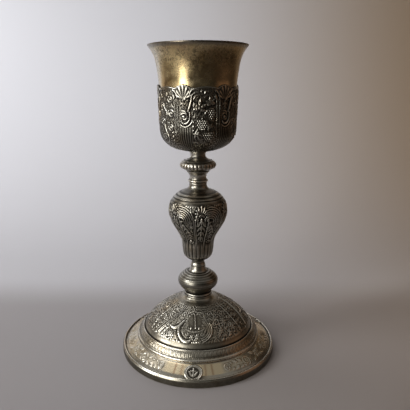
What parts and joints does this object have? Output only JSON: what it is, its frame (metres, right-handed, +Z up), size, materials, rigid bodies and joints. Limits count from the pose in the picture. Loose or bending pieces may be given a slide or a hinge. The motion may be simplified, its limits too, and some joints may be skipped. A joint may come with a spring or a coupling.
{
  "type": "chalice",
  "caption": "Tall ceremonial chalice: flared gilt cup in an ornamented calyx, knopped stem and a round domed foot with relief and medallions.",
  "frame": {"origin": "centre of the foot's underside, on the surface it stands on", "axes": "+Z up the stem to the lip; -Y faces the viewer, where a foot medallion stands"},
  "size_m": [0.1434, 0.1435, 0.275],
  "materials": {
    "silver": "worn polished silver, dark tarnish in the recesses",
    "silver_gilt": "worn gilding, tarnish specks"
  },
  "bodies": {
    "root": {"foot": "silver", "lower_knop": "silver", "main_knop": "silver", "upper_knop": "silver", "calyx": "silver", "cup": "silver_gilt"}
  },
  "joints": []
}
